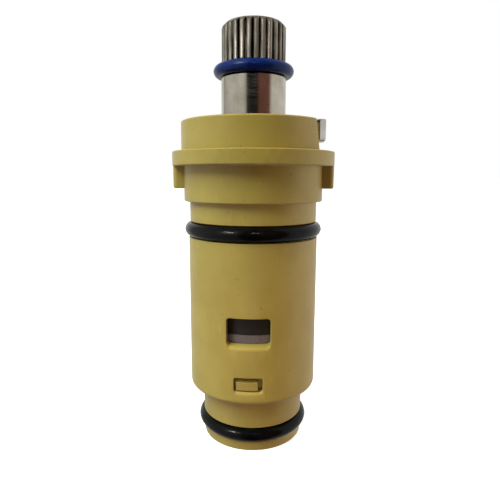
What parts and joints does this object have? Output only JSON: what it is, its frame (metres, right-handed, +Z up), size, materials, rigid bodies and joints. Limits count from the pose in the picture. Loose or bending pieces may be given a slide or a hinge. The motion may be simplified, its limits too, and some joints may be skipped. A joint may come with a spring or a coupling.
{
  "type": "ceramic disc tap cartridge",
  "caption": "Quarter-turn tap cartridge: cream plastic body with collar, flange and lugs, splined metal stem, rubber rings and ported ceramic discs behind side windows.",
  "frame": {"origin": "centre of the inlet nose's foot, on the stem's axis", "axes": "+Z up the stem, -Y towards one outlet window, +X towards one anti-turn lug and, at rest, the stop clip's tab"},
  "size_m": [0.028, 0.028, 0.0719],
  "materials": {
    "cream_plastic": "moulded engineering plastic with a soft sheen",
    "tan_plastic": "moulded engineering plastic with a soft sheen",
    "black_rubber": "smooth, lightly greased",
    "blue_rubber": "smooth",
    "plated_brass": "turned and nickel plated",
    "spring_steel": "stainless sheet",
    "white_ceramic": "lapped alumina",
    "black_plastic": "moulded",
    "white_plastic": "low-friction plastic"
  },
  "bodies": {
    "housing": {"cartridge_body": "cream_plastic", "inlet_nose": "tan_plastic", "body_o_ring": "black_rubber", "nose_o_ring": "black_rubber", "seat_seal": "black_rubber", "seal_support_ring": "white_plastic", "fixed_disc": "white_ceramic"},
    "spindle": {"stem": "plated_brass", "index_ring": "blue_rubber", "stem_o_ring_upper": "black_rubber", "stem_o_ring_lower": "black_rubber", "thrust_washer": "white_plastic", "stop_clip": "spring_steel", "disc_carrier": "black_plastic", "moving_disc": "white_ceramic"}
  },
  "joints": [
    {"name": "stem_turn", "type": "hinge", "parent": "housing", "child": "spindle", "pos_m": [0, 0, 0.05], "axis": [0, 0, 1], "range_deg": [-11, 79]}
  ]
}
